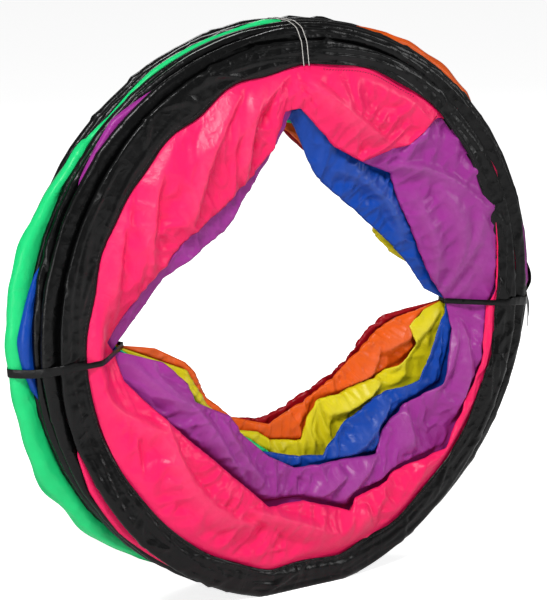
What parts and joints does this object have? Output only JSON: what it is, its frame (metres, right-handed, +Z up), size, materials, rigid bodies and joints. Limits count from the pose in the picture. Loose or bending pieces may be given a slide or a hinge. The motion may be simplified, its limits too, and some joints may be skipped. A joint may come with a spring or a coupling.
{
  "type": "play tunnel",
  "caption": "Pop-up crawl tunnel of coloured nylon panels on sprung hoops in black sleeves, pushed flat and tied into an upright ring.",
  "frame": {"origin": "on the floor, in the middle of the area that the tied bundle covers", "axes": "+Z up, +Y along the tunnel from its front hoop to its back hoop, +X to the right as seen from the front"},
  "size_m": [0.54, 0.0834, 0.4972],
  "materials": {
    "black_nylon": "satin",
    "pink_nylon": "satin",
    "purple_nylon": "satin",
    "blue_nylon": "satin",
    "green_nylon": "satin",
    "yellow_nylon": "satin",
    "orange_nylon": "satin",
    "red_nylon": "satin",
    "spring_wire": "drawn",
    "ferrule_steel": "crimped",
    "clear_thread": "smooth"
  },
  "bodies": {
    "hoop_1": {"sleeve_1": "black_nylon", "wire_1": "spring_wire", "ferrule_1": "ferrule_steel", "panel_1_pink": "pink_nylon", "tie_left": "black_nylon", "tie_right": "black_nylon", "top_thread": "clear_thread"},
    "hoop_2": {"sleeve_2": "black_nylon", "wire_2": "spring_wire", "ferrule_2": "ferrule_steel", "panel_2_purple": "purple_nylon"},
    "hoop_3": {"sleeve_3": "black_nylon", "wire_3": "spring_wire", "ferrule_3": "ferrule_steel", "panel_3_blue": "blue_nylon"},
    "hoop_4": {"sleeve_4": "black_nylon", "wire_4": "spring_wire", "ferrule_4": "ferrule_steel", "panel_4_green": "green_nylon"},
    "hoop_5": {"sleeve_5": "black_nylon", "wire_5": "spring_wire", "ferrule_5": "ferrule_steel", "panel_5_yellow": "yellow_nylon"},
    "hoop_6": {"sleeve_6": "black_nylon", "wire_6": "spring_wire", "ferrule_6": "ferrule_steel", "panel_6_orange": "orange_nylon"},
    "hoop_7": {"sleeve_7": "black_nylon", "wire_7": "spring_wire", "ferrule_7": "ferrule_steel", "panel_7_red": "red_nylon"},
    "hoop_8": {"sleeve_8": "black_nylon", "wire_8": "spring_wire", "ferrule_8": "ferrule_steel"}
  },
  "joints": [
    {"name": "open_1", "type": "slide", "parent": "hoop_1", "child": "hoop_2", "axis": [0, 1, 0], "range_m": [0, 0.25], "deforming": ["panel_1_pink", "tie_left", "tie_right", "top_thread"]},
    {"name": "open_2", "type": "slide", "parent": "hoop_2", "child": "hoop_3", "axis": [0, 1, 0], "range_m": [0, 0.25], "deforming": ["panel_2_purple"]},
    {"name": "open_3", "type": "slide", "parent": "hoop_3", "child": "hoop_4", "axis": [0, 1, 0], "range_m": [0, 0.25], "deforming": ["panel_3_blue"]},
    {"name": "open_4", "type": "slide", "parent": "hoop_4", "child": "hoop_5", "axis": [0, 1, 0], "range_m": [0, 0.25], "deforming": ["panel_4_green"]},
    {"name": "open_5", "type": "slide", "parent": "hoop_5", "child": "hoop_6", "axis": [0, 1, 0], "range_m": [0, 0.25], "deforming": ["panel_5_yellow"]},
    {"name": "open_6", "type": "slide", "parent": "hoop_6", "child": "hoop_7", "axis": [0, 1, 0], "range_m": [0, 0.25], "deforming": ["panel_6_orange"]},
    {"name": "open_7", "type": "slide", "parent": "hoop_7", "child": "hoop_8", "axis": [0, 1, 0], "range_m": [0, 0.25], "deforming": ["panel_7_red"]}
  ],
  "couplings": [
    {"joint": "open_2", "follows": "open_1", "ratio": 1},
    {"joint": "open_3", "follows": "open_1", "ratio": 1},
    {"joint": "open_4", "follows": "open_1", "ratio": 1},
    {"joint": "open_5", "follows": "open_1", "ratio": 1},
    {"joint": "open_6", "follows": "open_1", "ratio": 1},
    {"joint": "open_7", "follows": "open_1", "ratio": 1}
  ]
}
